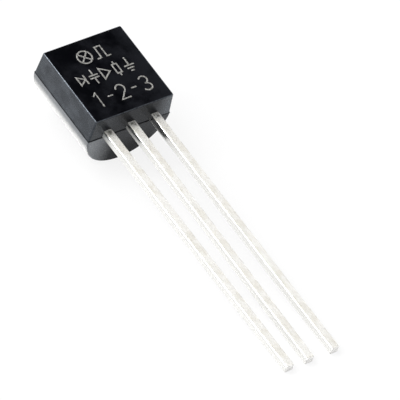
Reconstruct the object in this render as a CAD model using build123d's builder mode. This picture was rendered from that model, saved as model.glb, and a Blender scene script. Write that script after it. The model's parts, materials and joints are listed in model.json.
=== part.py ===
"""Three-lead voltage regulator in a half-round moulded package, lying as it comes to rest.

The compound is moulded in one shot around a stamped leadframe. In front of the parting plane the mould
gives a flat face with drafted walls, and behind it a round back. The middle lead widens into the paddle
that carries the chip, and the two outer leads end in bond posts beside it.

Put down on its back, the part tips onto its lead tips. It then stands on the rim of the round back and
the three tips, with its flat face up. +X runs from lead 1 to lead 3, the leads point towards -Y, +Z is
up, and the origin is the bottom centre of the whole part. Millimetres.
"""

import os
from math import asin, atan2, cos, hypot, radians, sin

from build123d import *

# Moulded body
body_width = 4.46  # across the parting plane
body_height = 4.45  # along the leads, at the parting plane
front_depth = 1.25  # parting plane to flat face
back_depth = 2.15  # parting plane to the crown of the round back
side_draft = 5.0  # degrees, side walls of the front half
end_draft = 1.5  # degrees, end walls of both halves
mould_step = 0.015  # the front half stands in by this much at the parting line
corner_round = 0.08  # upright corners of the front half
flat_edge_round = 0.06  # rim of the flat face
back_edge_round = 0.06  # rims of the round back

# What the mould leaves behind
ejector_diameter = 1.4
ejector_depth = 0.14  # below the crown of the round back
gate_width = 0.9
gate_height = 0.24
gate_stub = 0.05  # broken-off runner at the closed end

# Leads, all stamped from one strip
lead_pitch = 1.27
lead_width = 0.42
lead_thickness = 0.40
lead_length = 14.2  # end face to tip
lead_edge_round = 0.05
ground_lead_lean = 0.10  # sideways at the tip, bent a little in handling
input_lead_lean = -0.08
output_lead_lean = 0.0

# Leadframe inside the body, with heights measured from the lead end of the body
post_width = 0.9
post_bottom = 0.9
post_height = 0.95
post_gap = 0.3  # posts to paddle
paddle_width = 2.0
paddle_height = 1.9
frame_corner_round = 0.12
lock_hole_diameter = 0.4
lock_hole_margin = 0.3  # centre of the hole to the top of the paddle

# Chip, its adhesive and its wires
die_width = 1.15
die_height = 0.95
die_thickness = 0.25
die_margin = 0.12  # chip to the lower edge of the paddle
attach_thickness = 0.03
attach_margin = 0.05  # adhesive squeezed out round the chip
pad_inset = 0.15  # bond pads in from the edges of the chip
wire_diameter = 0.05
wire_neck = 0.22  # straight up from the ball to the first kink
wire_loop = 0.30  # top of the loop above the chip
wire_shoulder = 0.12  # first kink to the top of the loop, along the wire's run
ball_diameter = 0.11
ball_height = 0.025
stitch_length = 0.12
stitch_width = 0.09
stitch_thickness = 0.03
stitch_lift = 0.01  # wire above the surface in its stitch

# Rest pose. In the section along the leads, the line from the underside of the lead tips just touches
# the rounded rim of the back, and that line is the ground.
end_slope = radians(end_draft)
rim_drop = back_depth - back_edge_round
rim_inset = (back_edge_round + rim_drop * sin(end_slope)) / cos(end_slope)
tip_to_rim = hypot(lead_length + rim_inset, rim_drop)
rest_tilt = atan2(rim_drop, lead_length + rim_inset) + asin(back_edge_round / tip_to_rim)

far_end = (body_height - rim_inset) * cos(rest_tilt) + rim_drop * sin(rest_tilt) + back_edge_round
tip_end = -lead_length * cos(rest_tilt) - lead_thickness * sin(rest_tilt)

# Package frame: x across the leads, y towards the closed end, z out of the flat face, and its origin on
# the parting plane at the lead end.
package = Plane(
    origin=(0, -(far_end + tip_end) / 2, lead_length * sin(rest_tilt)),
    x_dir=(1, 0, 0),
    z_dir=(0, -sin(rest_tilt), cos(rest_tilt)),
)
lead_end = Plane(package.origin, x_dir=package.x_dir, z_dir=-package.y_dir)
frame_face = package.offset(lead_thickness)
across, along, outward = (
    Axis(package.origin, direction) for direction in (package.x_dir, package.y_dir, package.z_dir)
)
paddle_bottom = post_bottom + post_height + post_gap
die_centre = (0, paddle_bottom + die_margin + die_height / 2)
die_top = lead_thickness + attach_thickness + die_thickness


def save(part, name):
    part.label = name
    export_step(part, f"parts/{name}.step")


os.makedirs("parts", exist_ok=True)

# Leads: plated strips outside the body, each one piece with its post or paddle inside it. Name, place
# across the body, lean, and the size and lower edge of the head.
post = (post_width, post_height, post_bottom)
paddle = (paddle_width, paddle_height, paddle_bottom)
lead_rows = (
    ("ground_lead", -lead_pitch, ground_lead_lean, post),
    ("input_lead", 0, input_lead_lean, paddle),
    ("output_lead", lead_pitch, output_lead_lean, post),
)
leads = {}
for lead_name, lead_x, lean, (head_width, head_height, head_bottom) in lead_rows:
    with BuildPart() as lead:
        with BuildSketch(lead_end):
            with Locations((lead_x, lead_thickness / 2)):
                RectangleRounded(lead_width, lead_thickness, lead_edge_round)
        extrude(amount=-head_bottom)
        way_out = lead_end.z_dir * lead_length + lead_end.x_dir * lean
        extrude(lead.faces().sort_by(along)[0], amount=way_out.length, dir=way_out)
        with BuildSketch(package):
            with Locations((lead_x, head_bottom + head_height / 2)):
                RectangleRounded(head_width, head_height, frame_corner_round)
            if head_bottom == paddle_bottom:
                with Locations((lead_x, head_bottom + head_height - lock_hole_margin)):
                    Circle(lock_hole_diameter / 2, mode=Mode.SUBTRACT)
        extrude(amount=lead_thickness)
    save(lead.part, lead_name)
    leads[lead_name] = lead.part

# Adhesive film, squeezed out a little round the chip.
with BuildPart() as die_attach:
    with BuildSketch(frame_face):
        with Locations(die_centre):
            RectangleRounded(die_width + 2 * attach_margin, die_height + 2 * attach_margin, attach_margin)
    extrude(amount=attach_thickness)
save(die_attach.part, "die_attach")

# Silicon chip, sawn square.
with BuildPart() as regulator_die:
    with BuildSketch(frame_face.offset(attach_thickness)):
        with Locations(die_centre):
            Rectangle(die_width, die_height)
    extrude(amount=die_thickness)
save(regulator_die.part, "regulator_die")

# Bond wires: a ball on the chip, a loop with the kinks that the bonding tool leaves in it, and a
# flattened stitch on the post or paddle.
pad_x = die_width / 2 - pad_inset
pad_y = die_height / 2 - pad_inset
post_middle = post_bottom + post_height / 2
paddle_bond = (paddle_width / 4, (die_centre[1] + die_height / 2 + paddle_bottom + paddle_height) / 2)
bonds = {
    "ground_bond_wire": ((-pad_x, die_centre[1] - pad_y), (-lead_pitch, post_middle)),
    "output_bond_wire": ((pad_x, die_centre[1] - pad_y), (lead_pitch, post_middle)),
    "input_bond_wire": ((pad_x, die_centre[1] + pad_y), paddle_bond),
}
foot_level = lead_thickness - die_top + stitch_lift + wire_diameter / 2
wires = {}
for wire_name, (pad, landing) in bonds.items():
    ball_seat = package.from_local_coords(Vector(*pad, die_top))
    stitch_seat = package.from_local_coords(Vector(*landing, lead_thickness))
    reach = package.from_local_coords(Vector(*landing, die_top)) - ball_seat
    with BuildPart() as bond_wire:
        with BuildLine(Plane(ball_seat, x_dir=reach, z_dir=reach.cross(package.z_dir))) as loop:
            Polyline(
                (0, ball_height / 2),
                (0, wire_neck),
                (wire_shoulder, wire_loop),
                (reach.length - stitch_length, foot_level),
                (reach.length, foot_level),
            )
        with BuildSketch(Plane(loop.line @ 0, z_dir=package.z_dir)):
            Circle(wire_diameter / 2)
        sweep(transition=Transition.RIGHT)
        with BuildSketch(Plane(ball_seat, z_dir=package.z_dir)):
            Circle(ball_diameter / 2)
        extrude(amount=ball_height)
        with BuildSketch(Plane(stitch_seat, x_dir=reach, z_dir=package.z_dir)):
            with Locations((-stitch_length / 2, 0)):
                SlotOverall(stitch_length * 1.5, stitch_width)
        extrude(amount=stitch_thickness)
    save(bond_wire.part, wire_name)
    wires[wire_name] = bond_wire.part

# Front half of the compound: the flat face and its drafted walls.
with BuildPart() as front_half:
    with BuildSketch(package):
        with Locations((0, body_height / 2)):
            Rectangle(body_width - 2 * mould_step, body_height - 2 * mould_step)
    extrude(amount=front_depth)
    draft(front_half.faces().filter_by(across), package, side_draft)
    draft(front_half.faces().filter_by(along), package, end_draft)
    fillet(front_half.edges().group_by(outward)[1], corner_round)
    fillet(front_half.faces().sort_by(outward)[-1].edges(), flat_edge_round)

# Back half: an arc from one parting edge to the other, through the crown. The flat end of an ejector pin
# leaves a shallow round land on the crown.
with BuildPart() as back_half:
    with BuildSketch(lead_end):
        with BuildLine():
            ThreePointArc((-body_width / 2, 0), (0, -back_depth), (body_width / 2, 0))
            Line((body_width / 2, 0), (-body_width / 2, 0))
        make_face()
    extrude(amount=-body_height)
    draft(back_half.faces().filter_by(along), -package, end_draft)
    rims = back_half.edges().filter_by(GeomType.LINE, reverse=True)
    fillet(rims, back_edge_round)
    with BuildSketch(package.offset(-back_depth)):
        with Locations((0, body_height / 2)):
            Circle(ejector_diameter / 2)
    extrude(amount=ejector_depth, mode=Mode.SUBTRACT)

# The whole body, less the room that the leadframe, chip and wires take up in it.
with BuildPart() as moulded_body:
    add(front_half.part)
    add(back_half.part)
    with BuildSketch(lead_end.offset(-body_height - gate_stub)):
        with Locations((0, -gate_height / 2)):
            Rectangle(gate_width, gate_height)
    extrude(amount=gate_stub + gate_height)
    add([*leads.values(), die_attach.part, regulator_die.part, *wires.values()], mode=Mode.SUBTRACT)
save(moulded_body.part, "moulded_body")
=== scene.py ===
import json
import math

import bpy
from mathutils import Matrix, Vector


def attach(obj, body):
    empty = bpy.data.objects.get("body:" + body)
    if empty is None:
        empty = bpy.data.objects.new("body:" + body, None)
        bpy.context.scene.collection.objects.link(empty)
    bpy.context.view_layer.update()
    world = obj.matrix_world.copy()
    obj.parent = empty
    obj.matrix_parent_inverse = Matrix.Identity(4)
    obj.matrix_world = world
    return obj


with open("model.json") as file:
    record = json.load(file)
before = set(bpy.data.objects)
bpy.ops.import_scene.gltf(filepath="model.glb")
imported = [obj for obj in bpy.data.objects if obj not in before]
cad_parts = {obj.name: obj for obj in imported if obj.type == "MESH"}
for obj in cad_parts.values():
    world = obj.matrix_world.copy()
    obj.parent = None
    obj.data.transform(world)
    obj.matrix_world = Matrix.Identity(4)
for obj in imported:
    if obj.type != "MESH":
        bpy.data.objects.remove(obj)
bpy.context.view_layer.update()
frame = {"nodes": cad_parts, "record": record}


# Moulded body. Black epoxy compound, transfer-moulded in one shot round the leadframe. The mould is polished
# behind the flat and spark-eroded elsewhere, so the flat is glossy and the walls are satin, with a bluish
# bloom of release agent at the sides and a dark broken line where the two halves of the mould met. Light is
# painted into the colours in three places: a gradient across the flat, a lighter rim round it, and the bloom,
# which is made lighter where the end faces reflect the lit floor.
MM = 0.001
body_height = 4.45
lead_thickness = 0.40
compound_black = (0.0010, 0.0011, 0.0017, 1)
compound_grey = (0.0075, 0.0080, 0.0100, 1)
compound_blue = (0.0110, 0.0130, 0.0165, 1)
compound_scuffed = (0.026, 0.032, 0.040, 1)
compound_worn_and_painted_highlight = (0.060, 0.066, 0.075, 1)
compound_broken = (0.075, 0.080, 0.085, 1)
bloom_and_painted_reflection_blue = (0.050, 0.060, 0.070, 1)
flash_crumb = (0.28, 0.29, 0.30, 1)
gloss_tint = (0.79, 0.88, 1.0, 1)
haze_tint = (1.0, 0.99, 0.97, 1)
compound_ior = 1.5
flat_roughness, flat_roughness_spread = 0.12, 0.02
wall_roughness, wall_roughness_spread = 0.24, 0.05
gate_roughness = 0.59
haze_roughness = 0.5
front_end_gloss = 0.16
back_end_gloss, foot_gloss = 0.14, 0.05
side_gloss_low, side_gloss_high = 0.38, 0.80
bloom_and_painted_reflection_gloss = 0.9
erosion_depth = 0.004
erosion_strength = 0.30
cloud_size, grain_size, speckle_size, scuff_size = 1.1, 0.045, 0.09, 0.16
scuff_stretch = (1, 2.6, 1)

mounts = {mount["name"]: mount for mount in frame["record"]["mounts"]}
flat_centre = Vector(mounts["flat_front"]["pos_m"])
across = Vector((1, 0, 0))
outward = Vector(mounts["flat_front"]["axis"]).normalized()
towards_end = outward.cross(across)
lead_level = (Vector(mounts["lead_row"]["pos_m"]) - flat_centre).dot(outward) / MM
parting_level = lead_level - lead_thickness / 2
lead_end_y = (Vector(mounts["end_seat"]["pos_m"]) - flat_centre).dot(towards_end) / MM
closed_end_y = lead_end_y + body_height


def new_material(name):
    """A material with nothing but its Principled shader and its output."""
    material = bpy.data.materials.new(name)
    material.use_nodes = True
    return material, material.node_tree.nodes["Principled BSDF"]


def fill(node, inputs):
    """Fills a node's sockets: each takes a value or the output of another node."""
    for name, value in inputs.items():
        socket = node.inputs[name]
        if isinstance(value, bpy.types.NodeSocket):
            node.id_data.links.new(value, socket)
        else:
            socket.default_value = value


def add_node(material, kind, inputs=None, **settings):
    """A shader node with its settings made and its sockets filled."""
    node = material.node_tree.nodes.new("ShaderNode" + kind)
    for name, value in settings.items():
        setattr(node, name, value)
    fill(node, inputs or {})
    return node


def math_of(material, operation, *values, clamp=False):
    """The output of a Math node."""
    inputs = dict(enumerate(values))
    return add_node(material, "Math", inputs, operation=operation, use_clamp=clamp).outputs[0]


def times(material, *values):
    """The product of all the values."""
    product = values[0]
    for value in values[1:]:
        product = math_of(material, "MULTIPLY", product, value)
    return product


def ramp(material, value, low, high, start=0.0, end=1.0):
    """A smooth step of value, from start at low to end at high."""
    return add_node(
        material,
        "MapRange",
        {"Value": value, "From Min": low, "From Max": high, "To Min": start, "To Max": end},
        interpolation_type="SMOOTHSTEP",
    ).outputs[0]


def distance_from(material, value, level):
    """How far value is from level, on either side."""
    return math_of(material, "ABSOLUTE", math_of(material, "SUBTRACT", value, level))


def mix_number(material, share, first, second):
    """The first number where share is 0 and the second where it is 1."""
    return add_node(material, "Mix", {0: share, 2: first, 3: second}, data_type="FLOAT").outputs[0]


def mix_colour(material, share, first, second):
    """The first colour where share is 0 and the second where it is 1."""
    return add_node(material, "Mix", {0: share, 6: first, 7: second}, data_type="RGBA").outputs[2]


def package_place(material):
    """Where a point is in the package, in millimetres: across, towards the closed end, and above the flat."""
    place = add_node(material, "TexCoord").outputs["Object"]
    from_flat = add_node(material, "VectorMath", {0: place, 1: flat_centre}, operation="SUBTRACT").outputs[0]
    along_axes = []
    for axis in (across, towards_end, outward):
        dot = add_node(material, "VectorMath", {0: from_flat, 1: axis / MM}, operation="DOT_PRODUCT")
        along_axes.append(dot.outputs["Value"])
    return along_axes


def package_vector(material, stretch=(1, 1, 1)):
    """The same place as one vector for a texture, drawn out by stretch along each axis."""
    scaled = [
        math_of(material, "DIVIDE", value, size) for value, size in zip(package_place(material), stretch)
    ]
    return add_node(material, "CombineXYZ", dict(zip("XYZ", scaled))).outputs[0]


def turned_to(material, axis):
    """How squarely the surface faces along an axis, from 1 through 0, edge on, to -1."""
    normal = add_node(material, "NewGeometry").outputs["Normal"]
    return add_node(material, "VectorMath", {0: normal, 1: axis}, operation="DOT_PRODUCT").outputs["Value"]


def noise(material, vector, size, detail=2.0, roughness=0.5):
    """Noise with features of about that size in millimetres, from 0 to 1."""
    return add_node(
        material, "TexNoise", {"Vector": vector, "Scale": 1 / size, "Detail": detail, "Roughness": roughness}
    ).outputs[0]


def bump(material, height, strength, depth):
    """A shading normal from a height, with its depth in millimetres."""
    return add_node(
        material, "Bump", {"Strength": strength, "Distance": depth * MM, "Height": height}
    ).outputs[0]


def spread(material, texture, start=0.0, end=1.0):
    """The middle range of a noise drawn out from start to end."""
    return ramp(material, texture, 0.3, 0.7, start, end)


def dress(node_name, material):
    """Gives a node of the frame its material."""
    mesh = frame["nodes"][node_name].data
    mesh.materials.clear()
    mesh.materials.append(material)


compound, compound_shader = new_material("mould_compound")
place_x, place_y, place_z = package_place(compound)
place = package_vector(compound)
cloud = noise(compound, place, cloud_size, detail=4, roughness=0.6)
grain = noise(compound, place, grain_size, detail=3, roughness=0.65)
speckle = noise(compound, place, speckle_size)
scuff = noise(compound, package_vector(compound, scuff_stretch), scuff_size, detail=5, roughness=0.7)

# Which part of the body a point is on: the flat, a side, its back half, the rim of the flat or the gate.
# Each pair of numbers, here and below, is where a change begins and where it is complete.
flat_facing, flat_skin = (0.95, 0.995), (-0.03, -0.01)
side_facing = (0.2, 0.6)
rim_facing, rim_end = (0.2, 0.5), (0.90, 0.98)
back_start = (-0.06, -0.03)
gate_start = (0.01, 0.03)

facing_out = turned_to(compound, outward)
facing_side = math_of(compound, "ABSOLUTE", turned_to(compound, across))
above_parting = math_of(compound, "SUBTRACT", place_z, parting_level)
past_closed_end = math_of(compound, "SUBTRACT", place_y, closed_end_y)
on_flat = times(compound, ramp(compound, facing_out, *flat_facing), ramp(compound, place_z, *flat_skin))
on_wall = math_of(compound, "SUBTRACT", 1.0, on_flat)
on_side = ramp(compound, facing_side, *side_facing)
on_back = ramp(compound, above_parting, *back_start, 1.0, 0.0)
on_front = math_of(compound, "SUBTRACT", 1.0, on_back)
on_rim = times(
    compound, ramp(compound, facing_out, *rim_facing), ramp(compound, facing_out, *rim_end, 1.0, 0.0)
)
on_gate = ramp(compound, past_closed_end, *gate_start)

# Bloom of release agent, partly a painted reflection: lighter and bluer where the end faces reflect the lit
# floor, thickest at the left of the back half and at the right of the front half, with a wandering edge.
bloom_and_painted_reflection_on_left, bloom_and_painted_reflection_on_right = (-2.0, -0.6), (1.2, 2.2)
bloom_and_painted_reflection_wander = 0.4
left_front_share, right_back_share = 0.2, 0.15

bloom_and_painted_reflection_x = math_of(compound, "MULTIPLY_ADD", cloud, bloom_and_painted_reflection_wander, place_x)
bloom_and_painted_reflection_x = math_of(compound, "ADD", bloom_and_painted_reflection_x, -bloom_and_painted_reflection_wander / 2)
left_bloom_and_painted_reflection = times(
    compound,
    ramp(compound, bloom_and_painted_reflection_x, *bloom_and_painted_reflection_on_left, 1.0, 0.0),
    mix_number(compound, on_back, left_front_share, 1.0),
)
right_bloom_and_painted_reflection = times(
    compound,
    ramp(compound, bloom_and_painted_reflection_x, *bloom_and_painted_reflection_on_right),
    mix_number(compound, on_front, right_back_share, 1.0),
)
bloom_and_painted_reflection = math_of(compound, "ADD", left_bloom_and_painted_reflection, right_bloom_and_painted_reflection, clamp=True)

# The parting line, dark and a little ragged, with crumbs of flash along it.
seam_on_ends, seam_on_sides = 0.060, 0.032
seam_wander = 0.04
seam_core = 0.55
seam_gaps, seam_in_gaps = (0.40, 0.60), 0.7
crumb_share, crumb_reach = (0.70, 0.74), (0.03, 0.06)

ragged_level = math_of(compound, "MULTIPLY_ADD", scuff, seam_wander, -seam_wander / 2)
seam_reach = mix_number(compound, on_side, seam_on_ends, seam_on_sides)
seam_offset = math_of(compound, "DIVIDE", distance_from(compound, above_parting, ragged_level), seam_reach)
seam = times(
    compound,
    ramp(compound, seam_offset, seam_core, 1.0, 1.0, 0.0),
    on_wall,
    ramp(compound, scuff, *seam_gaps, 1.0, seam_in_gaps),
)
near_seam = math_of(compound, "ABSOLUTE", above_parting)
crumbs = times(
    compound, ramp(compound, speckle, *crumb_share), ramp(compound, near_seam, *crumb_reach, 1.0, 0.0)
)

# Colours, laid over one another from the clean wall up.
flat_painted_light_across, flat_painted_light_along = 0.04, -0.02
flat_grey_patches = (0.33, 0.65)
scuffed_patches, scuffed_most = (0.60, 0.72), 0.8
worn_patches, worn_least = (0.36, 0.52), 0.3
seam_dark = 0.8

# Painted light: the flat turns greyer towards the right and towards the leads, over patches of random tone.
flat_tone = math_of(compound, "MULTIPLY_ADD", place_x, flat_painted_light_across, cloud)
flat_tone = math_of(compound, "MULTIPLY_ADD", place_y, flat_painted_light_along, flat_tone)
flat_grey = ramp(compound, flat_tone, *flat_grey_patches)
flat_colour = mix_colour(compound, flat_grey, compound_black, compound_grey)
wall_colour = mix_colour(compound, spread(compound, cloud), compound_grey, compound_blue)
wall_layers = (
    (ramp(compound, scuff, *scuffed_patches, 0.0, scuffed_most), compound_scuffed),
    # Painted reflection: the bloom's lighter blue stands in for the lit floor mirrored in the end faces.
    (bloom_and_painted_reflection, bloom_and_painted_reflection_blue),
    # Partly painted highlight: the rim is lightened all round, as wear and as a stand-in for its highlight.
    (times(compound, on_rim, ramp(compound, scuff, *worn_patches, worn_least, 1.0)), compound_worn_and_painted_highlight),
    (on_gate, mix_colour(compound, grain, compound_grey, compound_broken)),
    (crumbs, flash_crumb),
    (times(compound, seam, seam_dark), compound_black),
)
for layer_share, layer_colour in wall_layers:
    wall_colour = mix_colour(compound, layer_share, wall_colour, layer_colour)

# Roughness and gloss. The sides shine in patches, and the round back dulls towards its foot.
foot_fade = (-1.6, -0.3)
side_shine_along, side_shine_scuffs = 0.035, 0.6
side_shine_patches = (0.64, 0.96)

flat_rough = spread(
    compound, cloud, flat_roughness - flat_roughness_spread, flat_roughness + flat_roughness_spread
)
wall_rough = spread(
    compound, grain, wall_roughness - wall_roughness_spread, wall_roughness + wall_roughness_spread
)
wall_rough = mix_number(compound, on_gate, wall_rough, gate_roughness)
back_gloss = ramp(compound, above_parting, *foot_fade, foot_gloss, back_end_gloss)
gloss = mix_number(compound, on_back, front_end_gloss, back_gloss)
gloss = mix_number(compound, bloom_and_painted_reflection, gloss, bloom_and_painted_reflection_gloss)
side_tone = math_of(compound, "MULTIPLY_ADD", place_y, side_shine_along, cloud)
side_tone = math_of(compound, "MULTIPLY_ADD", scuff, side_shine_scuffs, side_tone)
side_gloss = ramp(compound, side_tone, *side_shine_patches, side_gloss_low, side_gloss_high)
gloss = mix_number(compound, on_side, gloss, side_gloss)
gloss = times(compound, gloss, math_of(compound, "SUBTRACT", 1.0, seam))

# The powdery haze of the bloom, strongest round the curve of the back.
end_haze, seam_haze = 0.43, 0.38
haze_fade = (-0.6, -0.2)

crown_haze = ramp(compound, above_parting, *haze_fade, 1.0, seam_haze)
haze = mix_number(compound, on_side, times(compound, left_bloom_and_painted_reflection, end_haze), crown_haze)
haze = times(compound, haze, on_back)

fill(
    compound_shader,
    {
        "Base Color": mix_colour(compound, on_wall, flat_colour, wall_colour),
        "Roughness": mix_number(compound, on_wall, flat_rough, wall_rough),
        "IOR": compound_ior,
        "Specular IOR Level": gloss,
        "Specular Tint": gloss_tint,
        "Sheen Weight": haze,
        "Sheen Roughness": haze_roughness,
        "Sheen Tint": haze_tint,
        "Normal": bump(compound, grain, times(compound, on_wall, erosion_strength), erosion_depth),
    },
)
dress("moulded_body", compound)


# Leads. Stamped from one strip of copper alloy, plated with matt tin and cropped to length. The rolled faces
# are grainy, and the sheared sides are burnished above and torn below, where the punch broke through. At the
# body the tin is dull where flash was cleaned off it, its grain is thickened there as painted shade, and dark
# spots on it are a painted reflection of the black end face.
lead_pitch = 1.27
tin_bright = (0.95, 0.94, 0.905, 1)
tin_warm = (0.88, 0.86, 0.80, 1)
tin_dull = (0.38, 0.365, 0.31, 1)
sheared_tin = (0.82, 0.815, 0.79, 1)
cropped_grey = (0.90, 0.89, 0.87, 1)
painted_end_face_reflection = (0.115, 0.115, 0.095, 1)
rolled_roughness = 0.56
burnished_roughness = 0.16
torn_roughness = 0.42
tin_roughness_spread = 0.05
rolled_metal, cleaned_metal, painted_reflection_metal = 0.85, 0.45, 0.1
burnished_metal_fresh, burnished_metal_aged = 1.0, 0.72
torn_metal_fresh, torn_metal_aged = 0.75, 0.6
rolled_relief, sheared_relief, relief_depth = 0.46, 0.06, 0.004
tin_cloud_size, tin_patch_size, tin_grain_size, tin_streak_size = 0.5, 0.11, 0.05, 0.07
streak_stretch = (1, 14, 1)

tin, tin_shader = new_material("tinned_lead")
tin_x, tin_y, tin_z = package_place(tin)
tin_place = package_vector(tin)
tin_cloud = noise(tin, tin_place, tin_cloud_size, detail=4, roughness=0.6)
tin_patch = noise(tin, tin_place, tin_patch_size, detail=3, roughness=0.6)
tin_grain = noise(tin, tin_place, tin_grain_size, detail=3, roughness=0.7)
tin_streak = noise(tin, package_vector(tin, streak_stretch), tin_streak_size, detail=3, roughness=0.6)

# Which face of a lead a point is on, how far it is from the body, and where the punch tore the side.
face_on = (0.6, 0.95)
fresh_end, cleaned_end = (1.9, 2.5), (0.25, 0.75)
tear_lean, tear_ragged = 0.07, 0.16
tear_start = (-0.02, 0.14)

rolled = ramp(tin, math_of(tin, "ABSOLUTE", turned_to(tin, outward)), *face_on)
cropped = ramp(tin, math_of(tin, "ABSOLUTE", turned_to(tin, towards_end)), *face_on)
way_out = math_of(tin, "SUBTRACT", lead_end_y, tin_y)
aged = ramp(tin, way_out, *fresh_end)
tear_level = math_of(tin, "MULTIPLY_ADD", tin_x, tear_lean, math_of(tin, "SUBTRACT", tin_z, lead_level))
tear_level = math_of(tin, "MULTIPLY_ADD", tin_streak, tear_ragged, tear_level)
torn = ramp(tin, tear_level, *tear_start, 1.0, 0.0)

# Painted reflection: a few dark spots near the middle of the rolled face, just clear of the body, standing in
# for the black end face mirrored in the tin. Counted in lead pitches, the middle of every lead falls on a
# half.
painted_reflection_start, painted_reflection_end = (0.03, 0.06), (0.21, 0.36)
painted_reflection_edge = (0.09, 0.15)
painted_reflection_patches, painted_reflection_least, painted_reflection_most = (0.40, 0.56), 0.2, 0.9
lead_middle = 0.5

pitches = math_of(tin, "ADD", math_of(tin, "DIVIDE", tin_x, lead_pitch), 2 + lead_middle)
off_middle = times(tin, distance_from(tin, math_of(tin, "FRACT", pitches), lead_middle), lead_pitch)
painted_reflection_spots = times(
    tin,
    ramp(tin, tin_patch, *painted_reflection_patches, painted_reflection_least, painted_reflection_most),
    ramp(tin, way_out, *painted_reflection_end, 1.0, 0.0),
    ramp(tin, off_middle, *painted_reflection_edge, 1.0, 0.0),
    ramp(tin, way_out, *painted_reflection_start),
)

# Colours, laid over one another from the clean plating up.
warm_patches = (0.42, 0.62)
streak_patches, streak_most = (0.56, 0.72), 0.2
grain_patches, grain_and_painted_shade_fade, grain_and_painted_shade_near, grain_far = (0.50, 0.66), (0.5, 3.0), 0.8, 0.3
cropped_most = 0.8

tin_colour = mix_colour(tin, ramp(tin, tin_cloud, *warm_patches), tin_bright, tin_warm)
# Partly painted shade: the dull grain is thicker near the body, darkening the tin where the body shades it.
grain_and_painted_shade = ramp(tin, way_out, *grain_and_painted_shade_fade, grain_and_painted_shade_near, grain_far)
tin_layers = (
    (ramp(tin, tin_streak, *streak_patches, 0.0, streak_most), tin_dull),
    (times(tin, ramp(tin, tin_grain, *grain_patches), grain_and_painted_shade), tin_dull),
    (math_of(tin, "SUBTRACT", 1.0, rolled), sheared_tin),
    (times(tin, cropped, cropped_most), cropped_grey),
    # Painted reflection of the black end face in the tin.
    (painted_reflection_spots, painted_end_face_reflection),
)
for layer_share, layer_colour in tin_layers:
    tin_colour = mix_colour(tin, layer_share, tin_colour, layer_colour)

burnished_metal = mix_number(tin, aged, burnished_metal_fresh, burnished_metal_aged)
torn_metal = mix_number(tin, aged, torn_metal_fresh, torn_metal_aged)
side_metal = mix_number(tin, torn, burnished_metal, torn_metal)
top_metal = ramp(tin, way_out, *cleaned_end, cleaned_metal, rolled_metal)
top_metal = mix_number(tin, painted_reflection_spots, top_metal, painted_reflection_metal)
side_rough = mix_number(tin, torn, burnished_roughness, torn_roughness)
tin_rough = mix_number(tin, rolled, side_rough, rolled_roughness)
tin_rough_spread = spread(tin, tin_grain, -tin_roughness_spread, tin_roughness_spread)

fill(
    tin_shader,
    {
        "Base Color": tin_colour,
        "Metallic": mix_number(tin, rolled, side_metal, top_metal),
        "Roughness": math_of(tin, "ADD", tin_rough, tin_rough_spread),
        "Normal": bump(tin, tin_grain, mix_number(tin, rolled, sheared_relief, rolled_relief), relief_depth),
    },
)
for lead_name in ("ground_lead", "input_lead", "output_lead"):
    dress(lead_name, tin)


# Laser marking. The beam burns the black compound to a pale grey, in thin strokes a few micrometres proud of
# the flat. There are three rows, read with the leads pointing down: two of circuit signs, and one of the lead
# numbers, each over its lead.
mark_grey = (0.31, 0.305, 0.285, 1)
mark_dark = (0.085, 0.085, 0.082, 1)
mark_roughness, mark_roughness_spread = 0.75, 0.1
faint_patches, faint_most = (0.42, 0.60), 0.85
bare_spots, bare_most = (0.58, 0.70), 0.5
burn_relief, burn_depth = 0.6, 0.003
burn_patch_size, burn_spot_size = 0.07, 0.022
stroke_width = 0.080
stroke_height = 0.004
stroke_profile = ((-0.5, 0), (-0.3, 1), (0.3, 1), (0.5, 0))
stroke_end_reach = 0.35
stroke_end_width = 0.5
mitre_limit = 2
sign_height = 0.80
arc_step = math.radians(9)


def arc(middle_x, middle_y, radius_x, radius_y, start, end):
    """Points of an elliptical arc, with angles in degrees from the right, anticlockwise."""
    first, last = math.radians(start), math.radians(end)
    count = max(2, math.ceil(abs(last - first) / arc_step))
    angles = [first + (last - first) * step / count for step in range(count + 1)]
    return [(middle_x + radius_x * math.cos(a), middle_y + radius_y * math.sin(a)) for a in angles]


# Strokes in a box one unit high, centred on its middle.
signs = {
    "lamp": [
        arc(0, 0, 0.44, 0.44, 0, 360),
        [(-0.31, -0.31), (0.31, 0.31)],
        [(-0.31, 0.31), (0.31, -0.31)],
    ],
    "pulse": [
        [(-0.45, -0.40), (-0.20, -0.40), (-0.20, 0.40), (0.16, 0.40), (0.16, -0.40), (0.41, -0.40)],
    ],
    "diode": [
        [(-0.24, 0.30), (0.20, 0), (-0.24, -0.30), (-0.24, 0.30)],
        [(0.22, 0.32), (0.22, -0.32)],
    ],
    "capacitor": [
        [(0, 0.50), (0, 0.09)],
        [(-0.27, 0.09), (0.27, 0.09)],
        [(-0.27, -0.09), (0.27, -0.09)],
        [(0, -0.09), (0, -0.50)],
    ],
    "amplifier": [
        [(-0.26, -0.40), (-0.26, 0.40), (0.30, 0), (-0.26, -0.40)],
    ],
    "resistor": [
        [(0, 0.50), (0, 0.32)],
        [(-0.15, 0.32), (0.15, 0.32), (0.15, -0.32), (-0.15, -0.32), (-0.15, 0.32)],
        [(0, -0.32), (0, -0.50)],
    ],
    "ground": [
        [(0, 0.50), (0, -0.06)],
        [(-0.30, -0.06), (0.30, -0.06)],
        [(-0.19, -0.26), (0.19, -0.26)],
        [(-0.08, -0.46), (0.08, -0.46)],
    ],
    "one": [
        [(-0.14, 0.30), (0.06, 0.50), (0.06, -0.50)],
    ],
    "two": [
        arc(0, 0.21, 0.27, 0.29, 170, -38) + [(-0.28, -0.50), (0.29, -0.50)],
    ],
    "three": [
        arc(-0.01, 0.25, 0.25, 0.25, 150, -90),
        arc(-0.01, -0.25, 0.28, 0.25, 90, -150),
    ],
    "dash": [
        [(-0.15, 0), (0.15, 0)],
    ],
}

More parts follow.
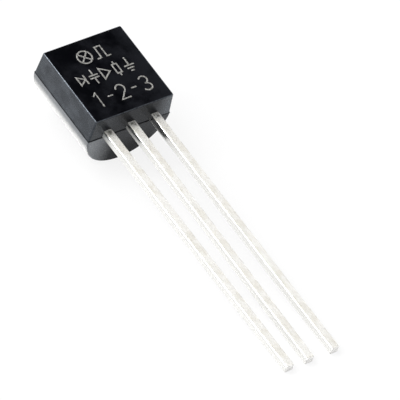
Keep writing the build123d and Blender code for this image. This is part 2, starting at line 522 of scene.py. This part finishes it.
# Each row's height on the flat, its middle across, the spacing of its signs, and the signs in order.
mark_rows = (
    (1.22, -0.04, 0.88, ("lamp", "pulse")),
    (0.11, -0.085, 0.62, ("diode", "capacitor", "amplifier", "resistor", "ground")),
    (-1.11, 0, lead_pitch / 2, ("one", "dash", "two", "dash", "three")),
)


def ribbon(stroke, points, faces):
    """Adds one stroke as a low ridge: a flat top between sloping sides, with its ends drawn in."""
    closed = math.dist(stroke[0], stroke[-1]) < stroke_height
    spine = stroke[:-1] if closed else stroke
    count = len(spine)
    sections = []
    for index, here in enumerate(spine):
        before = spine[index - 1] if closed or index else None
        after = spine[(index + 1) % count] if closed or index < count - 1 else None
        ways = [
            (Vector(end) - Vector(start)).normalized()
            for start, end in ((before, here), (here, after))
            if start is not None and end is not None
        ]
        way = (ways[0] + ways[-1]).normalized()
        width = min(1 / way.dot(ways[0]), mitre_limit)
        sections.append((Vector(here), way, width))
    if not closed:
        first, first_way, _ = sections[0]
        last, last_way, _ = sections[-1]
        reach = stroke_width * stroke_end_reach
        sections.insert(0, (first - first_way * reach, first_way, stroke_end_width))
        sections.append((last + last_way * reach, last_way, stroke_end_width))
    start = len(points)
    for middle, way, width in sections:
        sideways = Vector((-way.y, way.x)) * stroke_width * width
        for side, rise in stroke_profile:
            spot = middle + sideways * side
            points.append((spot.x, spot.y, rise * stroke_height))
    size = len(stroke_profile)
    total = len(sections)
    for index in range(total if closed else total - 1):
        here = start + index * size
        there = start + (index + 1) % total * size
        for side in range(size):
            next_side = (side + 1) % size
            faces.append((here + side, there + side, there + next_side, here + next_side))
    if not closed:
        faces.append(tuple(start + side for side in range(size)))
        faces.append(tuple(start + (total - 1) * size + side for side in reversed(range(size))))


mark_points, mark_faces = [], []
for row_y, row_x, spacing, row in mark_rows:
    for index, sign_name in enumerate(row):
        sign_x = row_x + (index - (len(row) - 1) / 2) * spacing
        for stroke in signs[sign_name]:
            drawn = [(sign_x + x * sign_height, row_y + y * sign_height) for x, y in stroke]
            ribbon(drawn, mark_points, mark_faces)

burn, burn_shader = new_material("laser_marking")
burn_place = package_vector(burn)
burn_patch = noise(burn, burn_place, burn_patch_size, detail=4, roughness=0.7)
burn_spots = noise(burn, burn_place, burn_spot_size, detail=2, roughness=0.6)
faint = ramp(burn, burn_patch, *faint_patches, 0.0, faint_most)
bare = ramp(burn, burn_spots, *bare_spots, 0.0, bare_most)
burn_colour = mix_colour(burn, bare, mix_colour(burn, faint, mark_grey, mark_dark), mark_dark)
burn_rough = spread(
    burn, burn_patch, mark_roughness - mark_roughness_spread, mark_roughness + mark_roughness_spread
)
fill(
    burn_shader,
    {
        "Base Color": burn_colour,
        "Roughness": burn_rough,
        "Normal": bump(burn, burn_spots, burn_relief, burn_depth),
    },
)

marking_mesh = bpy.data.meshes.new("laser_marking")
mark_spots = [flat_centre + (across * x + towards_end * y + outward * z) * MM for x, y, z in mark_points]
marking_mesh.from_pydata(mark_spots, [], mark_faces)
marking_mesh.polygons.foreach_set("use_smooth", [True] * len(marking_mesh.polygons))
marking_mesh.materials.append(burn)
marking = bpy.data.objects.new("laser_marking", marking_mesh)
bpy.context.scene.collection.objects.link(marking)
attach(marking, "root")


# Chip. A piece of silicon sawn from its wafer, with its metal tracks and pads showing through the oxide as a
# pattern of blocks. It is glued to the paddle of the middle lead.
silicon_blue = (0.085, 0.095, 0.135, 1)
silicon_violet = (0.13, 0.11, 0.15, 1)
track_metal = (0.62, 0.61, 0.60, 1)
cell_dark = (0, 0, 0, 1)
cell_grey = (0.25, 0.25, 0.25, 1)
cell_edge = (1, 1, 1, 1)
cell_scale = 9.0
track_width = 0.012
track_relief, track_depth = 0.3, 0.002
tint_size, tint_patches = 0.25, (0.35, 0.65)
oxide_roughness_low, oxide_roughness_high = 0.12, 0.22

silicon, silicon_shader = new_material("silicon_chip")
silicon_place = package_vector(silicon)
silicon_cloud = noise(silicon, silicon_place, tint_size)
silicon_tint = ramp(silicon, silicon_cloud, *tint_patches)
silicon_colour = mix_colour(silicon, silicon_tint, silicon_blue, silicon_violet)
tracks = add_node(
    silicon,
    "TexBrick",
    {
        "Vector": silicon_place,
        "Scale": cell_scale,
        "Mortar Size": track_width,
        "Color1": cell_dark,
        "Color2": cell_grey,
        "Mortar": cell_edge,
    },
).outputs[0]
fill(
    silicon_shader,
    {
        "Base Color": mix_colour(silicon, tracks, silicon_colour, track_metal),
        "Metallic": tracks,
        "Roughness": spread(silicon, silicon_cloud, oxide_roughness_low, oxide_roughness_high),
        "Normal": bump(silicon, tracks, track_relief, track_depth),
    },
)
dress("regulator_die", silicon)


# Adhesive. Epoxy filled with silver flakes, dispensed as a drop on the paddle and pressed into a film by the
# chip, which squeezes a little of it out all round.
flake_bright = (0.75, 0.74, 0.72, 1)
flake_dull = (0.38, 0.37, 0.36, 1)
flake_metal = 0.7
flake_size, flake_patches = 0.02, (0.4, 0.6)
resin_roughness, flake_roughness = 0.55, 0.35
flake_relief, flake_depth = 0.5, 0.003

adhesive, adhesive_shader = new_material("silver_adhesive")
flakes = noise(adhesive, package_vector(adhesive), flake_size, detail=4, roughness=0.8)
flake_share = ramp(adhesive, flakes, *flake_patches)
fill(
    adhesive_shader,
    {
        "Base Color": mix_colour(adhesive, flake_share, flake_dull, flake_bright),
        "Metallic": flake_metal,
        "Roughness": spread(adhesive, flakes, resin_roughness, flake_roughness),
        "Normal": bump(adhesive, flakes, flake_relief, flake_depth),
    },
)
dress("die_attach", adhesive)


# Bond wires. Drawn gold with fine die lines along it, welded with a ball on the chip and a stitch on the
# leadframe, and duller where the bonding tool has pressed it.
gold_bright = (0.93, 0.70, 0.30, 1)
gold_dull = (0.76, 0.55, 0.24, 1)
gold_cloud_size, dull_patches = 0.08, (0.4, 0.65)
die_line_size, die_line_stretch = 0.01, (1, 1, 6)
die_line_relief, die_line_depth = 0.3, 0.001
gold_roughness_low, gold_roughness_high = 0.18, 0.34

gold, gold_shader = new_material("gold_wire")
gold_cloud = noise(gold, package_vector(gold), gold_cloud_size, detail=3, roughness=0.6)
die_lines = noise(gold, package_vector(gold, die_line_stretch), die_line_size)
fill(
    gold_shader,
    {
        "Base Color": mix_colour(gold, ramp(gold, gold_cloud, *dull_patches), gold_bright, gold_dull),
        "Metallic": 1.0,
        "Roughness": spread(gold, gold_cloud, gold_roughness_low, gold_roughness_high),
        "Normal": bump(gold, die_lines, die_line_relief, die_line_depth),
    },
)
for wire_name in ("ground_bond_wire", "output_bond_wire", "input_bond_wire"):
    dress(wire_name, gold)


# Floor. A sheet of white card under the part. The camera and shiny faces see most of it as plain white, and
# the rest of it keeps the part's shadow.
floor_half = 0.9
card_white = (0.80, 0.80, 0.80, 1)
card_roughness = 0.9
card_plain_share = 0.85
plain_white = (1, 1, 1, 1)
corners = ((-1, -1), (1, -1), (1, 1), (-1, 1))

floor_mesh = bpy.data.meshes.new("floor")
floor_mesh.from_pydata([(x * floor_half, y * floor_half, 0) for x, y in corners], [], [(0, 1, 2, 3)])
floor = bpy.data.objects.new("floor", floor_mesh)
bpy.context.scene.collection.objects.link(floor)

card, card_shader = new_material("white_card")
fill(card_shader, {"Base Color": card_white, "Roughness": card_roughness, "Specular IOR Level": 0.0})
card_glow = add_node(card, "Emission", {"Color": plain_white, "Strength": 1.0})
card_rays = add_node(card, "LightPath").outputs
card_seen = math_of(card, "MAXIMUM", card_rays["Is Camera Ray"], card_rays["Is Glossy Ray"])
card_seen = math_of(card, "MAXIMUM", card_seen, card_rays["Is Transmission Ray"])
card_plain = times(card, card_seen, card_plain_share)
card_mix = add_node(card, "MixShader", {0: card_plain, 1: card_shader.outputs[0], 2: card_glow.outputs[0]})
fill(card.node_tree.nodes["Material Output"], {"Surface": card_mix.outputs[0]})
floor_mesh.materials.append(card)


# Studio. Softboxes to the left of the table and behind it, with a narrow strip that picks out the left rim,
# and a white backdrop all round. Shiny faces see the backdrop low down and a dim ceiling above it, which
# keeps the polished flat black.
light_distance = 0.45
watts_per_radiance = 4.0
room_grey = (0.06, 0.06, 0.065, 1)
backdrop_top = math.sin(math.radians(12))
ceiling_start = math.sin(math.radians(30))

# Each light's direction and height in degrees, its width and height in metres, and its radiance.
studio_lights = (
    ("left_high_box", 195, 54, 0.26, 0.16, 4.1),
    ("left_low_box", 165, 36, 0.24, 0.20, 2.5),
    ("rim_strip", 151, 45, 0.05, 0.26, 15.0),
    ("back_high_box", 120, 60, 0.21, 0.21, 4.9),
    ("back_low_box", 105, 35, 0.30, 0.21, 3.0),
    ("right_box", 0, 35, 0.21, 0.21, 2.0),
    ("top_box", 60, 80, 0.21, 0.21, 1.4),
)
for light_name, azimuth, elevation, width, height, radiance in studio_lights:
    light_data = bpy.data.lights.new(light_name, "AREA")
    light_data.shape = "RECTANGLE"
    light_data.size = width
    light_data.size_y = height
    light_data.energy = radiance * width * height * watts_per_radiance
    light = bpy.data.objects.new(light_name, light_data)
    bpy.context.scene.collection.objects.link(light)
    turn, rise = math.radians(azimuth), math.radians(elevation)
    level_reach = math.cos(rise)
    light_way = Vector((math.cos(turn) * level_reach, math.sin(turn) * level_reach, math.sin(rise)))
    light.location = light_way * light_distance
    light.rotation_euler = (-light_way).to_track_quat("-Z", "Y").to_euler()
    light.visible_camera = False

room = bpy.data.worlds.new("room")
bpy.context.scene.world = room
room.use_nodes = True
room_background = room.node_tree.nodes["Background"]
fill(room_background, {"Color": room_grey})
backdrop = add_node(room, "Background", {"Color": plain_white})
room_rays = add_node(room, "LightPath").outputs
room_way = add_node(room, "SeparateXYZ", {0: add_node(room, "TexCoord").outputs["Generated"]})
on_backdrop = ramp(room, room_way.outputs["Z"], backdrop_top, ceiling_start, 1.0, 0.0)
mirrored = math_of(room, "MAXIMUM", room_rays["Is Glossy Ray"], room_rays["Is Transmission Ray"])
white_seen = math_of(room, "MAXIMUM", room_rays["Is Camera Ray"], times(room, mirrored, on_backdrop))
room_mix = add_node(room, "MixShader", {0: white_seen, 1: room_background.outputs[0], 2: backdrop.outputs[0]})
fill(room.node_tree.nodes["World Output"], {"Surface": room_mix.outputs[0]})


# Camera. A long lens on a stand, in front of the part, to its left and above it. It is tilted to one side, so
# that the leads run down to the right.
camera_azimuth = math.radians(-43.53)
camera_elevation = math.radians(41.906)
camera_roll = math.radians(11.563)
camera_lens = 475.4
camera_distance = 230.5 * MM
camera_aim = Vector((0.551, -0.03, 1.5)) * MM

level_reach = math.cos(camera_elevation)
camera_way = Vector(
    (
        math.sin(camera_azimuth) * level_reach,
        -math.cos(camera_azimuth) * level_reach,
        math.sin(camera_elevation),
    )
)
camera_data = bpy.data.cameras.new("camera")
camera_data.lens = camera_lens
camera_data.clip_start = 0.01
camera_data.clip_end = 10
camera = bpy.data.objects.new("camera", camera_data)
bpy.context.scene.collection.objects.link(camera)
camera.location = camera_aim + camera_way * camera_distance
camera.rotation_mode = "QUATERNION"
level_view = (-camera_way).to_track_quat("-Z", "Y")
camera.rotation_quaternion = level_view @ Matrix.Rotation(camera_roll, 3, "Z").to_quaternion()
bpy.context.scene.camera = camera
bpy.context.scene.view_settings.view_transform = "Standard"
